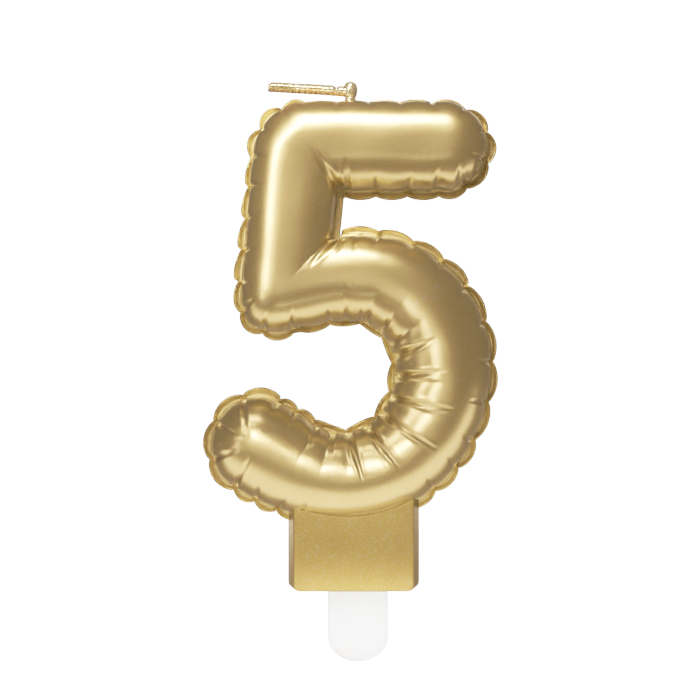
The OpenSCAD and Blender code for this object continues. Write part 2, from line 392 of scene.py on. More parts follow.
def seam_stretches(plan):
    """The seam, clockwise from the top left corner"""
    r, end = plan.bar_r, plan.bar_end
    stem_out = -left(plan.stem_way)
    notch = plan.corner + np.array([8.2, -r])
    strip_top = plan.corner + left(plan.stem_way) * plan.bar_r + plan.stem_way * 8.6
    strip_foot = plan.corner + left(plan.stem_way) * (plan.bowl_r + 0.1) + plan.stem_way * 17.0
    at = plan.at
    heel = plan.arc(plan.foot, plan.stem_r, 278, 175, FOOT_BULGE)
    round_r = plan.stem_r + CORNER_ROUND
    bar_top = plan.straight(plan.corner + np.array([plan.round_back - 1.0, plan.stem_r]),
                            end + np.array([-1.8, r]))
    bar_under = plan.straight(end + np.array([-0.4, -r]), notch)
    stem_side = plan.straight(plan.foot + plan.stem_r * stem_out,
                              plan.corner + plan.stem_r * stem_out + plan.round_back * plan.stem_way)
    inner = lambda a, b: plan.edge(at(a), at(b), -1)
    return [
        Stretch(plan.arc(plan.round_centre, round_r, 178, 120), 2, (0.5, 0.4), (1.7, 1.9)),
        Stretch(plan.arc(plan.round_centre, round_r, 120, 96), 1, (0.35, 0.25), (1.15, 1.1)),
        Stretch(bar_top, 4, (0.2, 0.2), (0.4, 0.85), pucker=1.6, deep=0.12),
        Stretch(plan.arc(end, r, 103, 56), 1, (0.2, 0.2), (0.9, 0.9), pucker=2.0),
        Stretch(plan.arc(end, r, 56, -58, 0.55), 3, (0.3, 1.0), (1.4, 1.9), pucker=3.4, deep=0.3),
        Stretch(plan.arc(end, r, -58, -92), 1, (1.0, 1.1), (1.8, 1.8), pucker=3.0, deep=0.3),
        Stretch(bar_under, 3, (1.1, 1.1), (1.75, 1.75), pucker=2.0, deep=0.16),
        Stretch(plan.straight(strip_top, strip_foot), 1, (1.0, 1.1), (1.05, 1.1), pucker=0.0, groove=0.0),
        Stretch(plan.edge(at(91.5), at(37), 1), 4, (1.0, 0.95), (1.6, 1.9), pucker=2.4, deep=0.22),
        Stretch(plan.edge(at(37), at(-26), 1), 4, (0.75, 0.65), (1.65, 1.7), pucker=3.0, deep=0.24),
        Stretch(plan.edge(at(-26), at(-64.5), 1), 3, (0.8, 1.0), (1.8, 1.9), pucker=2.4),
        Stretch(plan.edge(at(-64.5), at(-108), 1), 3, (0.4, 0.4), (0.45, 0.45), pucker=0.0, groove=0.0),
        Stretch(plan.edge(at(-108), plan.run_l, 1), 3, (0.9, 0.9), (1.7, 1.9), pucker=3.2, deep=0.28),
        Stretch(plan.tip(), 4, (1.0, 1.1), (1.9, 2.0), pucker=5.2, deep=0.42),
        Stretch(plan.edge(plan.run_l, at(-122), -1), 2, (0.8, 0.8), (1.6, 1.4), pucker=2.6),
        Stretch(inner(-122, -54.5), 2, (0.8, 0.6), (1.5, 1.45), pucker=0.0),
        Stretch(inner(-54.5, 17.5), 2, (0.6, 0.7), (1.45, 1.55), pucker=0.0),
        Stretch(inner(17.5, 76), 2, (0.7, 0.4), (1.15, 1.0), pucker=0.0),
        Stretch(plan.edge(at(76), 1.4, -1), 2, (0.5, 0.8), (1.2, 1.5), pucker=2.6, deep=0.26),
        Stretch(heel, 3, (0.8, 0.9), (1.9, 1.7), pucker=3.6, deep=0.3),
        Stretch(stem_side, 4, (1.1, 0.5), (2.0, 1.3), skew=0.62, pucker=2.4),
    ]


# ---------------------------------------------------------------- creases and puffs

GATHER_WIDE, CREASE_WIDE = 0.42, 0.52  # widths of the seam's gathers and of the bowl's creases
EDGE_PUFF, BOWL_PUFF = 0.42, 0.5  # how far the skin puffs up beside a scallop and between two creases

# Long creases of the bowl's inner side: angle at the edge, angle at the far end,
# reach from the bowl's centre, and depth
BOWL_CREASES = (
    (91, 89, 13.0, 0.30), (70, 71, 12.7, 0.30), (53, 54, 13.2, 0.34), (36.6, 37, 12.9, 0.30),
    (23.6, 24, 16.9, 0.42), (1.5, 4.4, 17.6, 0.46), (-2.5, 0.5, 14.0, 0.24), (-23.8, -15.9, 19.8, 0.50),
    (-44.8, -38.2, 20.2, 0.52), (-67.6, -58.7, 18.6, 0.50), (-89, -80.5, 18.0, 0.44),
    (-105, -101, 14.2, 0.28), (-121, -118, 13.4, 0.26),
)


def crease(flat, start, stop, wide, deep):
    """Depth of a straight crease: a valley with a low lip on both sides, fading to its far end"""
    way = stop - start
    size = np.linalg.norm(way)
    way = way / size
    rel = flat - start
    along = rel @ way / size
    off = np.abs(rel @ left(way))
    narrow = wide * (1 - 0.5 * np.clip(along, 0, 1))
    fade = np.where(along < 0, np.exp(-((along * size / 1.2) ** 2)), np.clip(1 - along, 0, 1) ** 0.6)
    valley = np.exp(-((off / narrow) ** 2))
    lip = np.exp(-(((off - 1.9 * narrow) / narrow) ** 2))
    return deep * fade * (valley - 0.42 * lip)


def polar(centre, angle_deg, radius):
    """The point at an angle and a distance from a centre"""
    a = math.radians(angle_deg)
    return centre + radius * np.array([math.cos(a), math.sin(a)])


def relief(plan, co, stretches, steps=24):
    """How far each point of the digit's skin stands out or in, in millimetres"""
    flat = co[:, [0, 2]]
    out = np.zeros(len(co))
    lines, waves = [], []
    for s in stretches:
        line, side, _, wave, u = s.stations(steps)
        lines.append(line)
        waves.append(wave * (s.pucker > 0))
        if s.pucker > 0:
            for k in np.flatnonzero(u == 0):
                lean = 0.22 * math.sin(3.1 * line[k, 0] + 1.7 * line[k, 1])
                way = -side[k] + lean * left(side[k])
                reach = s.pucker * (1 + 0.25 * math.sin(2.3 * line[k, 0] - line[k, 1]))
                out -= crease(flat, line[k] + 0.2 * side[k], line[k] + reach * way, GATHER_WIDE, s.deep)
    line, wave = np.concatenate(lines), np.concatenate(waves)
    tree = KDTree(len(line))
    for k, p in enumerate(line):
        tree.insert((p[0], p[1], 0), k)
    tree.balance()
    near = [tree.find((p[0], p[1], 0)) for p in flat]
    index = np.array([n[1] for n in near])
    gap = np.array([n[2] for n in near])
    out += EDGE_PUFF * (wave[index] - 0.45) * np.exp(-((gap / 1.5) ** 2))
    # The bowl's inner side puffs up between its creases
    rel = flat - plan.bowl
    radius, angle = np.linalg.norm(rel, axis=1), np.degrees(np.arctan2(rel[:, 1], rel[:, 0]))
    marks = sorted(c[0] for c in BOWL_CREASES if c[2] > 13.1 or c[0] > 30)
    phase = np.interp(angle, marks, np.arange(len(marks)))
    inside = np.clip((18.5 - radius) / 8, 0, 1) ** 1.5 * (angle > marks[0]) * (angle < marks[-1])
    out += BOWL_PUFF * (np.abs(np.sin(math.pi * phase)) ** 0.7 - 0.5) * inside
    for edge, far, reach, deep in BOWL_CREASES:
        out -= crease(flat, polar(plan.bowl, edge, 9.0), polar(plan.bowl, far, reach), CREASE_WIDE, deep)
    # Folds of the two inner corners
    inner = plan.corner + np.array([7.3, -8.3])
    for start, stop, wide, deep in (
        (inner, plan.corner + np.array([2.4, -0.9]), 0.75, 0.42),
        (inner + np.array([1.5, 0.3]), inner + np.array([1.2, 5.6]), 0.5, 0.34),
        (inner + np.array([0.6, 0.2]), inner + np.array([-0.6, 4.4]), 0.45, 0.2),
    ):
        out -= crease(flat, start, stop, wide, deep)
    # Gathers under the bar's round end
    for start, stop in (((-1.4, -8.2), (-0.6, -4.0)), ((2.6, -8.0), (3.1, -3.6)), ((5.7, -6.6), (6.1, -2.7))):
        out -= crease(flat, plan.bar_end + np.array(start), plan.bar_end + np.array(stop), 0.5, 0.36)
    # Folds that run into the foot from the stem and the bowl
    elbow = plan.foot + np.array([8.9, 9.0])
    for start, stop, wide, deep in (
        (elbow, plan.foot + np.array([4.6, 3.4]), 0.7, 0.36),
        (elbow + np.array([1.6, -0.6]), elbow + np.array([-0.2, -3.8]), 0.5, 0.14),
        (elbow + np.array([3.6, -0.9]), elbow + np.array([3.0, -3.4]), 0.5, 0.12),
    ):
        out -= crease(flat, start, stop, wide, deep)
    # A slow unevenness, as of foil blown up by hand
    x, z = flat[:, 0], flat[:, 1]
    ripple = 0.05 * np.sin(x / 2.3 + 1.4 * np.sin(z / 4.9)) * np.sin(z / 3.1 + 0.8)
    out += ripple + 0.07 * np.sin(x / 6.1 - z / 5.3)
    return out


def normals_of(piece):
    """Outward direction at each vertex"""
    no = np.empty(len(piece.data.vertices) * 3, np.float32)
    piece.data.vertex_normals.foreach_get("vector", no)
    return no.reshape(-1, 3).astype(float)


class CANDLE_OT_digit(bpy.types.Operator):
    """Blown-up digit with its creases and puffs"""

    bl_idname = "candle.digit"
    bl_label = "Digit"

    def execute(self, context):
        plan = Plan(context.scene.candle_sizes)
        rows = digit_rows(plan)
        around = 112
        turns = np.arange(around) * 2 * math.pi / around
        rings = np.stack([digit_point(plan, kind, value, turns) for kind, value in rows])
        piece = rolled_grid("number_figure_skin", len(rows) - 1, around, lambda r, c: rings[r, c % around])
        co = points_of(piece) / MM
        stand = relief(plan, co, seam_stretches(plan))
        move_points(piece, (co + normals_of(piece) * stand[:, None]) * MM)
        dress(piece, "candle", "gold_wax", gold_material(context, "Gold lacquer", 0.0), "number_figure")
        return {"FINISHED"}


class CANDLE_OT_seam(bpy.types.Operator):
    """Scalloped seam with its rim and pockets"""

    bl_idname = "candle.seam"
    bl_label = "Seam"

    def execute(self, context):
        plan = Plan(context.scene.candle_sizes)
        half = context.scene.candle_sizes.seam_half / MM
        parts = [(s, *s.stations(28)) for s in seam_stretches(plan)]
        line = np.concatenate([p[1] for p in parts])
        side = np.concatenate([p[2] for p in parts])
        lift = np.concatenate([p[3] for p in parts])
        groove = np.concatenate([np.full(len(p[1]), p[0].groove) for p in parts])
        room = np.maximum(lift - 0.5, 0.02)
        deepest = 0.42
        sunk = np.minimum(deepest, 0.5 * room) * groove
        count = len(line)
        wobble = 1 + 0.05 * np.sin(np.arange(count) * 0.37) + 0.04 * np.sin(np.arange(count) * 0.111)
        ridge = half * 0.96
        # From inside the digit, over the ridge and the pocket, to the rim's outer edge
        outline = [
            (-2.0 + 0 * lift, ridge + 0 * lift), (-0.3 + 0 * lift, ridge + 0 * lift),
            (0.02 + 0 * lift, ridge * wobble),
            (0.02 + 0.16 * room, ridge - 0.45 * sunk), (0.02 + 0.42 * room, ridge - sunk),
            (0.02 + 0.72 * room, ridge - 0.8 * sunk), (0.02 + 0.93 * room, ridge - 0.25 * sunk),
            (lift - 0.36, half * wobble), (lift - 0.2, half * 1.04 * wobble), (lift - 0.09, half * 0.86),
            (lift - 0.02, half * 0.5), (lift, 0 * lift),
        ]
        reach = np.maximum.accumulate(np.stack([e for e, _ in outline]), axis=0)
        high = np.stack([y + 0 * lift for _, y in outline])
        reach = np.concatenate([reach, reach[-2::-1]])
        high = np.concatenate([high, -high[-2::-1]])
        around = len(reach)

        def place(row, column):
            r, c = row % count, column % around
            flat = line[r] + side[r] * reach[c, r][:, None]
            return np.stack([flat[:, 0], -high[c, r], flat[:, 1]], -1)

        piece = rolled_grid("seam_rim", count, around, place, 60)
        dress(piece, "candle", "gold_wax", gold_material(context, "Seam gold", 0.4, 0.45), "seam_flange")
        return {"FINISHED"}


class CANDLE_OT_block(bpy.types.Operator):
    """Plain block with its parting ridge, bevels, pick slot and top lip"""

    bl_idname = "candle.block"
    bl_label = "Block"

    def execute(self, context):
        plan = Plan(context.scene.candle_sizes)
        size, middle = BLOCK_HIGH - BLOCK_LOW, (BLOCK_HIGH + BLOCK_LOW) / 2
        face_half, lip_half = 10.75 * MM, 10.6 * MM
        corner_bevel, edge_bevel, near = 1.1 * MM, 0.28 * MM, 0.05 * MM
        play = 0.16 * MM
        nothing_selected()
        bpy.ops.mesh.primitive_cube_add(size=1, location=middle, scale=size)
        block = bpy.context.object
        block.name = block.data.name = "base_block_body"
        bpy.ops.object.transform_apply(location=True, rotation=True, scale=True)
        bpy.ops.object.mode_set(mode="EDIT")
        bpy.ops.mesh.select_all(action="SELECT")
        bpy.ops.mesh.bisect(plane_co=(0, 0, 0), plane_no=(0, 1, 0))
        bpy.ops.object.mode_set(mode="OBJECT")
        select_points(block, lambda p: abs(p.y) > size.y * 0.4)
        bpy.ops.object.mode_set(mode="EDIT")
        bpy.ops.transform.resize(value=(face_half / (size.x / 2), 1, 1), center_override=(0, 0, 0))
        bpy.ops.object.mode_set(mode="OBJECT")
        bottom = BLOCK_LOW.z + 0.1 * MM
        select_edges(block, lambda a, b: max(a.z, b.z) < bottom
                     and abs(a.x - b.x) < 2 * MM and abs(a.x) > 9 * MM)
        bpy.ops.object.mode_set(mode="EDIT")
        bpy.ops.mesh.bevel(offset=corner_bevel, segments=5, affect="EDGES")
        bpy.ops.object.mode_set(mode="OBJECT")
        select_edges(block, lambda a, b: abs(abs(a.y) - size.y / 2) < near
                     and abs(abs(b.y) - size.y / 2) < near
                     and min(a.z, b.z) < 15 * MM and a.y * b.y > 0)
        bpy.ops.object.mode_set(mode="EDIT")
        bpy.ops.mesh.bevel(offset=edge_bevel, segments=3, affect="EDGES")
        bpy.ops.object.mode_set(mode="OBJECT")
        # The pick's slot
        pick, centre = PICK_HIGH - PICK_LOW, (PICK_HIGH + PICK_LOW) / 2
        nothing_selected()
        bpy.ops.mesh.primitive_cube_add(size=1, location=(centre.x, 0, PICK_HIGH.z / 2 - 1 * MM),
                                        scale=(pick.x + play, pick.y + play, PICK_HIGH.z + 2.6 * MM))
        cutter = bpy.context.object
        bpy.ops.object.transform_apply(location=True, rotation=True, scale=True)
        cut = block.modifiers.new("Slot", "BOOLEAN")
        cut.operation, cut.object, cut.solver = "DIFFERENCE", cutter, "EXACT"
        nothing_selected()
        bpy.context.view_layer.objects.active = block
        block.select_set(True)
        bpy.ops.object.modifier_apply(modifier=cut.name)
        bpy.data.objects.remove(cutter)
        # A thin lip where each face meets the digit
        lips = []
        for face in (-1, 1):
            nothing_selected()
            bpy.ops.mesh.primitive_torus_add(
                major_radius=(plan.ring + 7.0) * MM, minor_radius=0.2 * MM,
                major_segments=360, minor_segments=36,
                location=(plan.bowl[0] * MM, face * (size.y / 2 - 0.02 * MM), plan.bowl[1] * MM),
                rotation=(math.pi / 2, 0, 0))
            lip = bpy.context.object
            bpy.ops.object.transform_apply(location=True, rotation=True, scale=True)
            bpy.ops.object.mode_set(mode="EDIT")
            for spot, out in ((lip_half, (1, 0, 0)), (-lip_half, (-1, 0, 0))):
                bpy.ops.mesh.select_all(action="SELECT")
                bpy.ops.mesh.bisect(plane_co=(spot, 0, 0), plane_no=out, clear_outer=True, use_fill=True)
            bpy.ops.mesh.select_all(action="SELECT")
            bpy.ops.mesh.bisect(plane_co=(0, 0, plan.bowl[1] * MM), plane_no=(0, 0, 1), clear_outer=True)
            bpy.ops.object.mode_set(mode="OBJECT")
            lips.append(lip)
        nothing_selected()
        for part in [*lips, block]:
            part.select_set(True)
        bpy.context.view_layer.objects.active = block
        bpy.ops.object.join()
        settle(block, 12)
        dress(block, "candle", "gold_wax", gold_material(context, "Block gold", 0.8, 0.0), "base_block")
        return {"FINISHED"}


def select_points(piece, wanted):
    """Selects the vertices whose place passes the test"""
    nothing_selected()
    piece.select_set(True)
    bpy.context.view_layer.objects.active = piece
    for e in piece.data.edges:
        e.select = False
    for f in piece.data.polygons:
        f.select = False
    for v in piece.data.vertices:
        v.select = bool(wanted(v.co))
    bpy.context.tool_settings.mesh_select_mode = (True, False, False)


def select_edges(piece, wanted):
    """Selects the edges whose two ends pass the test together"""
    select_points(piece, lambda p: False)
    vertices = piece.data.vertices
    for e in piece.data.edges:
        e.select = bool(wanted(vertices[e.vertices[0]].co, vertices[e.vertices[1]].co))
    bpy.context.tool_settings.mesh_select_mode = (False, True, False)


class CANDLE_OT_pick(bpy.types.Operator):
    """Plastic cake pick with softened edges"""

    bl_idname = "candle.pick"
    bl_label = "Pick"

    def execute(self, context):
        size, centre = PICK_HIGH - PICK_LOW, (PICK_HIGH + PICK_LOW) / 2
        point = 4.65 * MM  # height of the round point
        half = size.x / 2
        nothing_selected()
        bpy.ops.mesh.primitive_circle_add(vertices=72, radius=half, fill_type="NGON",
                                          rotation=(math.pi / 2, 0, 0), location=(centre.x, PICK_LOW.y, 0))
        pick = bpy.context.object
        pick.name = pick.data.name = "cake_pick_blade"
        bpy.ops.object.transform_apply(location=True, rotation=True, scale=True)
        select_points(pick, lambda p: p.z > -0.01 * MM)
        bpy.ops.object.mode_set(mode="EDIT")
        bpy.ops.transform.resize(value=(1, 1, 0), center_override=(centre.x, 0, 0))
        bpy.ops.transform.translate(value=(0, 0, PICK_HIGH.z))
        bpy.ops.object.mode_set(mode="OBJECT")
        select_points(pick, lambda p: p.z < 1 * MM)
        bpy.ops.object.mode_set(mode="EDIT")
        bpy.ops.transform.resize(value=(1, 1, point / half), center_override=(centre.x, 0, 0))
        bpy.ops.transform.translate(value=(0, 0, PICK_LOW.z + point))
        bpy.ops.mesh.select_all(action="SELECT")
        bpy.ops.mesh.remove_doubles(threshold=0.001 * MM)
        bpy.ops.mesh.select_mode(type="FACE")
        bpy.ops.mesh.select_all(action="SELECT")
        bpy.ops.mesh.extrude_region_move(TRANSFORM_OT_translate={"value": (0, size.y, 0)})
        bpy.ops.object.mode_set(mode="OBJECT")
        edge = size.y / 2 - 0.01 * MM
        select_edges(pick, lambda a, b: abs(a.y) > edge and abs(b.y) > edge and a.y * b.y > 0)
        bpy.ops.object.mode_set(mode="EDIT")
        bpy.ops.mesh.bevel(offset=0.35 * MM, segments=4, affect="EDGES")
        bpy.ops.object.mode_set(mode="OBJECT")
        settle(pick, 35)
        dress(pick, "pick", "white_plastic", plastic_material(context), "cake_pick")
        return {"FINISHED"}


class CANDLE_OT_wick(bpy.types.Operator):
    """Wick: coated stub, bead at the bend, and bent end with its braid showing below"""

    bl_idname = "candle.wick"
    bl_label = "Wick"

    def execute(self, context):
        knee = np.array(KNEE) / MM
        coat, braid = coat_material(), braid_material(context)
        stub_low, stub_high = STUB_LOW.z / MM - 1.2, STUB_HIGH.z / MM + 0.15
        around = 40
        stub_rows, anchor_rows, bead_rows, coat_rows, braid_rows = 24, 60, 32, 150, 220
        coat_r, anchor_r, bead_r, braid_r = 1.02, 0.56, 1.3, 0.68

        def lumps(u, v, size):
            slow, quick = np.sin(3.1 * u + 2 * np.sin(v)), np.sin(7.3 * u + 3 * v)
            return size * (slow * 0.5 + quick * 0.25 + np.sin(2 * v + 1.3 * u) * 0.35)

        def stub(row, column):
            u, v = row / stub_rows, column * 2 * math.pi / around
            r = coat_r + 0.16 * (1 - u) ** 3 + lumps(4 * u, v, 0.05)
            r = np.where((row == 0) | (row == stub_rows), 0, r)
            z = stub_low + (stub_high - stub_low) * u
            return np.stack([knee[0] + r * np.cos(v), r * np.sin(v), z], -1)

        skin = rolled_grid("wick_stub_wax", stub_rows, around, stub)
        dress(skin, "candle", "wick_coat", coat, "wick_stub_coat")

        def anchor(row, column):
            u, v = row / anchor_rows, column * 2 * math.pi / around
            low, high = ANCHOR_LOW.z / MM, ANCHOR_HIGH.z / MM
            r = anchor_r + 0.05 * np.abs(np.sin(1.5 * v + 20 * u)) + 0.02 * np.abs(np.sin(1.5 * v - 20 * u))
            r = np.where((row == 0) | (row == anchor_rows), 0, r)
            return np.stack([knee[0] + r * np.cos(v), r * np.sin(v), low + (high - low) * u], -1)

        skin = rolled_grid("wick_anchor_core", anchor_rows, around, anchor)
        dress(skin, "candle", "wick_braid", braid, "wick_anchor_braid")

        low, high = KNEE_LOW.z / MM, KNEE_HIGH.z / MM

        def bead(row, column):
            u, v = row / bead_rows * math.pi, column * 2 * math.pi / around
            tall = (high - low) / 2
            r = bead_r + lumps(1.2 * u, v, 0.05)
            z = low + tall * (1 + np.cos(math.pi - u))
            r = r * np.sin(u) ** 0.6
            return np.stack([knee[0] + r * np.cos(v), r * 0.97 * np.sin(v), z], -1)

        skin = rolled_grid("wick_knee_wax", bead_rows, around, bead)
        dress(skin, "wick", "wick_coat", coat, "wick_knee_bead")

        # The bent end: its rise from level, its length, and where its coat is nicked beside the bead
        lean = math.radians(4)
        way = np.array([-math.cos(lean), 0, math.sin(lean)])
        up = np.array([math.sin(lean), 0, math.cos(lean)])
        front = np.array([0, 1.0, 0])
        reach = 15.0
        nick = 2.6

        def along(u, v, r, droop):
            """Places round the bent end, hanging below or above its line by the droop"""
            centre = knee + way * (u * reach)[:, None] + up * droop[:, None]
            return centre + up * (r * np.sin(v))[:, None] + front * (r * np.cos(v))[:, None]

        def tail_coat(row, column):
            u, v = row / coat_rows, column * 2 * math.pi / around
            u = u * 0.975  # the coat stops short of the braid's end
            under = np.clip(0.1 - np.sin(v), 0, 1)
            r = coat_r - 0.08 * u + lumps(16 * u, v, 0.03) - 0.36 * under**0.8
            r = r - 0.30 * bump(u * reach, nick, 0.7) * (0.5 + 0.5 * np.sin(v)) ** 0.5
            r = np.where((row == 0) | (row == coat_rows), 0, r)
            r = r * np.where(row >= coat_rows - 2, 0.93, 1)
            return along(u, v, r, 0.05 * np.sin(5 * u))

        skin = rolled_grid("wick_tail_wax", coat_rows, around, tail_coat, 70)
        dress(skin, "wick", "wick_coat", coat, "wick_tail_coat")

        def tail_braid(row, column):
            u, v = row / braid_rows, column * 2 * math.pi / around
            strands = np.abs(np.sin(1.5 * v + 46 * u)) + 0.8 * np.abs(np.sin(1.5 * v - 46 * u))
            r = braid_r + 0.08 * strands
            r = np.where((row == 0) | (row == braid_rows), 0, r)
            return along(u, v, r, 0.05 * np.sin(5 * u) - 0.09)

        skin = rolled_grid("wick_tail_core", braid_rows, around, tail_braid, 70)
        dress(skin, "wick", "wick_braid", braid, "wick_tail_braid")
        return {"FINISHED"}


# ---------------------------------------------------------------- materials

PLAIN_WHITE = 4.0  # brightness that the film shows as plain white


def grain_group():
    """Fine grain of one size: a height and a fleck mask, with a broad mottle"""
    name = "Fine grain"
    if name in bpy.data.node_groups:
        return bpy.data.node_groups[name]
    g = bpy.data.node_groups.new(name, "ShaderNodeTree")
    g.interface.new_socket("Grains per metre", in_out="INPUT", socket_type="NodeSocketFloat")
    g.interface.new_socket("Height", in_out="OUTPUT", socket_type="NodeSocketFloat")
    g.interface.new_socket("Fleck", in_out="OUTPUT", socket_type="NodeSocketFloat")
    g.interface.new_socket("Mottle", in_out="OUTPUT", socket_type="NodeSocketFloat")
    n, ln = g.nodes, g.links
    into, outof = n.new("NodeGroupInput"), n.new("NodeGroupOutput")
    place = n.new("ShaderNodeTexCoord")
    cells = n.new("ShaderNodeTexVoronoi")
    broad = n.new("ShaderNodeTexNoise")
    broad.inputs["Detail"].default_value = 3.0
    broad.inputs["Scale"].default_value = 210.0
    for t in (cells, broad):
        ln.new(place.outputs["Object"], t.inputs["Vector"])
    ln.new(into.outputs[0], cells.inputs["Scale"])
    sharp = n.new("ShaderNodeMapRange")
    sharp.inputs["From Min"].default_value, sharp.inputs["From Max"].default_value = 0.74, 0.9
    ln.new(cells.outputs["Color"], sharp.inputs["Value"])
    ln.new(cells.outputs["Distance"], outof.inputs["Height"])
    ln.new(sharp.outputs["Result"], outof.inputs["Fleck"])
    ln.new(broad.outputs["Fac"], outof.inputs["Mottle"])
    return g


def new_material(name):
    m = bpy.data.materials.new(name)
    m.use_nodes = True
    shader = next(n for n in m.node_tree.nodes if n.type == "BSDF_PRINCIPLED")
    return m, m.node_tree.nodes, m.node_tree.links, shader


def mixed(nodes, links, factor, a, b):
    """A colour mix of two fixed colours or sockets"""
    mix = nodes.new("ShaderNodeMix")
    mix.data_type = "RGBA"
    links.new(factor, mix.inputs["Factor"])
    for socket, value in ((mix.inputs[6], a), (mix.inputs[7], b)):
        if isinstance(value, bpy.types.NodeSocket):
            links.new(value, socket)
        else:
            socket.default_value = (*value, 1)
    return mix.outputs[2]


def ranged(nodes, links, value, low, high, to_low, to_high):
    """A value moved from one range to another"""
    r = nodes.new("ShaderNodeMapRange")
    for key, number in zip(("From Min", "From Max", "To Min", "To Max"), (low, high, to_low, to_high)):
        r.inputs[key].default_value = number
    links.new(value, r.inputs["Value"])
    return r.outputs["Result"]


def gold_material(context, name, satin, crests_and_hollow_shade=0.55):
    """Champagne gold lacquer: metallic flecks, thin and thick lacquer, crests painted lighter and painted
    shade in the hollows.

    satin is 0 for glossy and 1 for matt, and also darkens the colour as painted shade; the last argument is 0
    for an even colour, with no painted shade in the hollows and no lighter crests.
    """
    colours, sizes = context.scene.candle_colours, context.scene.candle_sizes
    m, nodes, links, shader = new_material(name)
    grain = nodes.new("ShaderNodeGroup")
    grain.node_tree = grain_group()
    grain.inputs[0].default_value = 1 / sizes.grain
    # Painted shade: the satin seam and block get a darker copy of the same lacquer colour
    thin = 1 - 0.45 * satin
    bright = tuple(0.45 * c + 0.5 for c in colours.gold)
    # The first colour is the painted shade put into hollows and creases
    hollow_shade_colour, repeated_gold = (0.30, 0.17, 0.05), (0.62, 0.56, 0.34)
    body = mixed(nodes, links, ranged(nodes, links, grain.outputs["Mottle"], 0.3, 0.7, 0.0, 1.0),
                 tuple(thin * g for g in colours.gold),
                 tuple(thin * (0.7 * g + 0.3 * d) for g, d in zip(colours.gold, colours.deep_gold)))
    fleck = ranged(nodes, links, grain.outputs["Fleck"], 0.0, 1.0, 0.0, 0.3)
    flecked = mixed(nodes, links, fleck, body, bright)
    geometry = nodes.new("ShaderNodeNewGeometry")
    # Sharp crests are painted lighter, from the mesh's pointiness
    lighter_crest_mask = ranged(nodes, links, geometry.outputs["Pointiness"], 0.55, 0.66, 0.0, 0.35 * crests_and_hollow_shade)
    # Painted shade: hollows and creases are darkened, from the mesh's pointiness
    hollow_shade_mask = ranged(nodes, links, geometry.outputs["Pointiness"], 0.38, 0.48, 1.4 * crests_and_hollow_shade, 0.0)
    lighter_crests_and_hollow_shade_gold = mixed(nodes, links, lighter_crest_mask, mixed(nodes, links, hollow_shade_mask, flecked, hollow_shade_colour), bright)
    # Gold seen in gold stays pale instead of turning orange
    ray = nodes.new("ShaderNodeLightPath")
    tone = mixed(nodes, links, ray.outputs["Is Glossy Ray"], lighter_crests_and_hollow_shade_gold, repeated_gold)
    links.new(tone, shader.inputs["Base Color"])
    rough = ranged(nodes, links, grain.outputs["Fleck"], 0.0, 1.0, 0.30 + 0.25 * satin, 0.40 + 0.25 * satin)
    links.new(rough, shader.inputs["Roughness"])
    shader.inputs["Metallic"].default_value = 0.92
    edge = tuple(t + (1 - t) * satin for t in (0.88, 0.72, 0.48))
    shader.inputs["Specular Tint"].default_value = (*edge, 1)
    shader.inputs["Coat Weight"].default_value = 0.9 - 1.0 * satin
    shader.inputs["Coat Roughness"].default_value = 0.29 + 0.3 * satin
    shader.inputs["Coat IOR"].default_value = 1.9
    relief_node = nodes.new("ShaderNodeBump")
    relief_node.inputs["Strength"].default_value = 0.07
    relief_node.inputs["Distance"].default_value = 0.05 * MM
    links.new(grain.outputs["Height"], relief_node.inputs["Height"])
    links.new(relief_node.outputs["Normal"], shader.inputs["Normal"])
    return m


def coat_material():
    """Glossy wax and lacquer on the wick"""
    thick_coat, thin_coat, grains_per_metre = (0.86, 0.70, 0.43), (0.74, 0.47, 0.19), 3000
    m, nodes, links, shader = new_material("Wick coat")
    grain = nodes.new("ShaderNodeGroup")
    grain.node_tree = grain_group()
    grain.inputs[0].default_value = grains_per_metre
    tone = mixed(nodes, links, ranged(nodes, links, grain.outputs["Mottle"], 0.35, 0.65, 0.0, 1.0),
                 thick_coat, thin_coat)
    links.new(tone, shader.inputs["Base Color"])
    links.new(ranged(nodes, links, grain.outputs["Fleck"], 0, 1, 0.2, 0.34), shader.inputs["Roughness"])
    shader.inputs["Metallic"].default_value = 0.75
    shader.inputs["Coat Weight"].default_value = 0.6
    shader.inputs["Coat Roughness"].default_value = 0.15
    bumpy = nodes.new("ShaderNodeBump")
    bumpy.inputs["Strength"].default_value = 0.5
    bumpy.inputs["Distance"].default_value = 0.06 * MM
    links.new(grain.outputs["Height"], bumpy.inputs["Height"])
    links.new(bumpy.outputs["Normal"], shader.inputs["Normal"])
    return m


def braid_material(context):
    """Cotton braid soaked in wax and lacquer, with its fibres"""
    colours = context.scene.candle_colours
    m, nodes, links, shader = new_material("Cotton braid")
    place = nodes.new("ShaderNodeTexCoord")
    fibres = nodes.new("ShaderNodeTexNoise")
    fibres.inputs["Scale"].default_value = 2600
    fibres.inputs["Detail"].default_value = 4
    fibres.inputs["Distortion"].default_value = 1.2
    links.new(place.outputs["Object"], fibres.inputs["Vector"])
    light = tuple(min(1, c * 1.4) for c in colours.cotton)
    dark = tuple(c * 0.45 for c in colours.cotton)
    tone = mixed(nodes, links, ranged(nodes, links, fibres.outputs["Fac"], 0.35, 0.65, 0, 1), dark, light)
    links.new(tone, shader.inputs["Base Color"])
    links.new(ranged(nodes, links, fibres.outputs["Fac"], 0.3, 0.7, 0.75, 0.5), shader.inputs["Roughness"])
    shader.inputs["Sheen Weight"].default_value = 0.3
    bumpy = nodes.new("ShaderNodeBump")
    bumpy.inputs["Distance"].default_value = 0.1 * MM
    links.new(fibres.outputs["Fac"], bumpy.inputs["Height"])
    links.new(bumpy.outputs["Normal"], shader.inputs["Normal"])
    return m


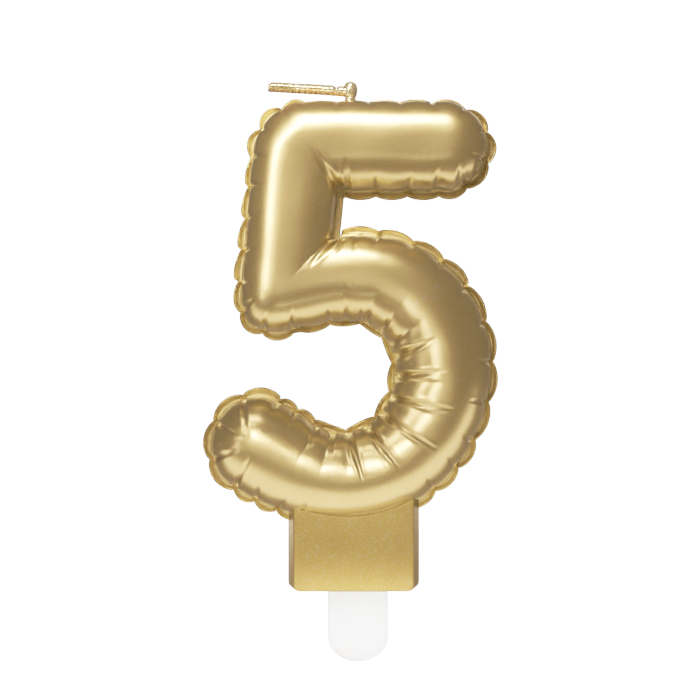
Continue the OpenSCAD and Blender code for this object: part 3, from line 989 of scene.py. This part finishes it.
def plastic_material(context):
    """Smooth moulded white plastic with a faint flow pattern"""
    colours = context.scene.candle_colours
    m, nodes, links, shader = new_material("White plastic")
    place = nodes.new("ShaderNodeTexCoord")
    flow = nodes.new("ShaderNodeTexNoise")
    flow.inputs["Scale"].default_value = 160
    flow.inputs["Detail"].default_value = 3
    links.new(place.outputs["Object"], flow.inputs["Vector"])
    skin = nodes.new("ShaderNodeTexNoise")
    skin.inputs["Scale"].default_value = 5200
    links.new(place.outputs["Object"], skin.inputs["Vector"])
    shade = tuple(c * 0.97 for c in colours.plastic)
    tone = mixed(nodes, links, flow.outputs["Fac"], tuple(colours.plastic), shade)
    links.new(tone, shader.inputs["Base Color"])
    links.new(ranged(nodes, links, flow.outputs["Fac"], 0.3, 0.7, 0.28, 0.38), shader.inputs["Roughness"])
    shader.inputs["Subsurface Weight"].default_value = 0.15
    shader.inputs["Subsurface Scale"].default_value = 1.5 * MM
    bumpy = nodes.new("ShaderNodeBump")
    bumpy.inputs["Strength"].default_value = 0.12
    bumpy.inputs["Distance"].default_value = 0.02 * MM
    links.new(skin.outputs["Fac"], bumpy.inputs["Height"])
    links.new(bumpy.outputs["Normal"], shader.inputs["Normal"])
    return m


def studio_material(context):
    """Pale paper that looks evenly lit"""
    m, nodes, links, shader = new_material("Studio paper")
    place = nodes.new("ShaderNodeTexCoord")
    paper = nodes.new("ShaderNodeTexNoise")
    paper.inputs["Scale"].default_value = 40
    links.new(place.outputs["Object"], paper.inputs["Vector"])
    pale = tuple(context.scene.candle_colours.studio)
    tone = mixed(nodes, links, paper.outputs["Fac"], pale, tuple(c * 0.985 for c in pale))
    links.new(tone, shader.inputs["Base Color"])
    shader.inputs["Roughness"].default_value = 0.9
    ray = nodes.new("ShaderNodeLightPath")
    shader.inputs["Emission Color"].default_value = (1, 1, 1, 1)
    glow = ranged(nodes, links, ray.outputs["Is Camera Ray"], 0, 1, 0.0, PLAIN_WHITE)
    links.new(glow, shader.inputs["Emission Strength"])
    return m


# ---------------------------------------------------------------- stage


def soft_light(name, place, aim, wide, tall, glow, spread=180):
    """A softbox: glow is its face's brightness seen straight on, and spread is its grid's angle in degrees"""
    nothing_selected()
    bpy.ops.object.light_add(type="AREA", location=place)
    lamp = bpy.context.object
    lamp.name = name
    lamp.data.shape = "RECTANGLE"
    lamp.data.size, lamp.data.size_y = wide, tall
    half = math.radians(spread) / 2
    lamp.data.energy = glow * math.pi * wide * tall * (1 - half / math.tan(half))
    lamp.data.spread = math.radians(spread)
    lamp.visible_camera = False
    lamp.rotation_euler = (Vector(aim) - Vector(place)).to_track_quat("-Z", "Y").to_euler()
    return lamp


def film_curve(settings):
    """Plain tones with a soft shoulder, so that bright reflections run gently to white"""
    settings.view_transform = "Standard"
    settings.use_curve_mapping = True
    curves = settings.curve_mapping
    curves.white_level = (PLAIN_WHITE, PLAIN_WHITE, PLAIN_WHITE)
    line = curves.curves[3]
    for bright, shown in ((0.25, 0.25), (0.5, 0.46), (1.0, 0.70), (2.0, 0.90)):
        line.points.new(bright / PLAIN_WHITE, shown)
    curves.update()


class CANDLE_OT_stage(bpy.types.Operator):
    """Pale floor and backdrop, soft studio lights and the camera"""

    bl_idname = "candle.stage"
    bl_label = "Stage"

    def execute(self, context):
        # The floor lies just under the pick when it is pulled all the way
        pull = next(j for j in frame["joints"] if j["name"] == "pick_pull")
        floor_z = PICK_LOW.z - pull["range_m"][1] - 0.3 * MM
        low_z = PICK_LOW.z + 2 * MM
        bend = 0.9  # how far back the floor turns up into the backdrop
        nothing_selected()
        bpy.ops.mesh.primitive_plane_add(size=3.2, location=(0, -0.6, floor_z))
        paper = bpy.context.object
        paper.name = "studio_paper"
        bpy.ops.object.transform_apply(location=True, rotation=True, scale=True)
        select_edges(paper, lambda a, b: min(a.y, b.y) > bend)
        bpy.ops.object.mode_set(mode="EDIT")
        bpy.ops.mesh.extrude_region_move(TRANSFORM_OT_translate={"value": (0, 0, 1.8)})
        bpy.ops.object.mode_set(mode="OBJECT")
        select_edges(paper, lambda a, b: min(a.y, b.y) > bend and max(a.z, b.z) < 0.1)
        bpy.ops.object.mode_set(mode="EDIT")
        bpy.ops.mesh.bevel(offset=0.5, segments=24, affect="EDGES")
        bpy.ops.object.mode_set(mode="OBJECT")
        bpy.ops.object.shade_smooth()
        paper.data.materials.append(studio_material(context))

        soft_light("overhead_box", (-0.010, -0.088, 0.170), (-0.002, 0.02, 0.062), 0.055, 0.035, 62, 34)
        soft_light("left_box", (-0.245, -0.29, 0.042), (-0.022, 0, 0.064), 0.04, 0.11, 15, 14)
        # Three boxes round the top corner, so that its highlight runs on from the bar to the stem
        corner = Vector((-0.011, 0, 0.080))
        reach, tilt = 0.30, math.radians(36)
        across = reach * math.sin(tilt)
        for roll in (112, 135, 158):
            turn = math.radians(roll)
            away = Vector((across * math.cos(turn), -reach * math.cos(tilt), across * math.sin(turn)))
            place = corner + away
            soft_light(f"corner_box_{roll}", place, corner, 0.075, 0.075, 62, 14)
        soft_light("low_front_box", (-0.024, -0.20, 0.062), (-0.010, 0, 0.021), 0.05, 0.03, 95, 13)
        soft_light("right_front_box", (-0.03, -0.25, 0.045), (0.018, 0, 0.034), 0.02, 0.06, 40, 12)
        soft_light("bowl_box", (0, -0.10, 0.000), (0, 0, 0.043), 0.10, 0.012, 26, 13)
        soft_light("table_glow", (0, -0.030, low_z), (0, -0.030, 1), 0.4, 0.050, 1.7)
        soft_light("bar_box", (0.0, -0.20, 0.048), (0.005, 0, 0.078), 0.12, 0.012, 14, 8)
        soft_light("back_box", (0.12, 0.45, 0.20), (0, 0, 45 * MM), 0.35, 0.30, 1.1)
        soft_light("side_strip_left", (-0.087, 0.157, 0.006), (-0.011, 0, 0.006), 0.05, 0.03, 40, 20)
        soft_light("side_strip_right", (0.087, 0.157, 0.006), (0.011, 0, 0.006), 0.05, 0.03, 15, 20)
        soft_light("pick_light", (0.0, -0.16, PICK_LOW.z), (0, 0, PICK_LOW.z), 0.05, 0.01, 900, 13)

        world = bpy.data.worlds.new("Soft room")
        context.scene.world = world
        world.use_nodes = True
        air = world.node_tree.nodes["Background"]
        air.inputs["Color"].default_value = (1, 1, 1, 1)
        ray = world.node_tree.nodes.new("ShaderNodeLightPath")
        nodes, links = world.node_tree.nodes, world.node_tree.links
        strength = ranged(nodes, links, ray.outputs["Is Camera Ray"], 0, 1, 0.26, PLAIN_WHITE)
        links.new(strength, air.inputs["Strength"])
        film_curve(context.scene.view_settings)

        eye = Vector((-0.67 * MM, -236 * MM, 43.16 * MM))
        bpy.ops.object.camera_add(location=eye, rotation=(math.pi / 2, 0, 0))
        camera = bpy.context.object
        camera.name = "main_camera"
        camera.data.sensor_width = 36
        camera.data.lens = 66.8
        camera.data.clip_start, camera.data.clip_end = 0.01, 20
        context.scene.camera = camera
        return {"FINISHED"}


class CANDLE_PT_panel(bpy.types.Panel):
    """Candle pieces in the sidebar"""

    bl_idname = "CANDLE_PT_panel"
    bl_label = "Number candle"
    bl_space_type = "VIEW_3D"
    bl_region_type = "UI"
    bl_category = "Candle"

    def draw(self, context):
        for step in STEPS:
            self.layout.operator(step.bl_idname)
        for group in (context.scene.candle_sizes, context.scene.candle_colours):
            for key in group.__annotations__:
                self.layout.prop(group, key)


STEPS = (CANDLE_OT_digit, CANDLE_OT_seam, CANDLE_OT_block, CANDLE_OT_wick, CANDLE_OT_pick, CANDLE_OT_stage)
CLASSES = (CandleSizes, CandleColours, *STEPS, CANDLE_PT_panel)


def register():
    for c in CLASSES:
        bpy.utils.register_class(c)
    bpy.types.Scene.candle_sizes = PointerProperty(type=CandleSizes)
    bpy.types.Scene.candle_colours = PointerProperty(type=CandleColours)


def unregister():
    del bpy.types.Scene.candle_sizes
    del bpy.types.Scene.candle_colours
    for c in reversed(CLASSES):
        bpy.utils.unregister_class(c)


def main():
    register()
    for step in STEPS:
        group, name = step.bl_idname.split(".")
        getattr(getattr(bpy.ops, group), name)()


if __name__ == "__main__":
    main()
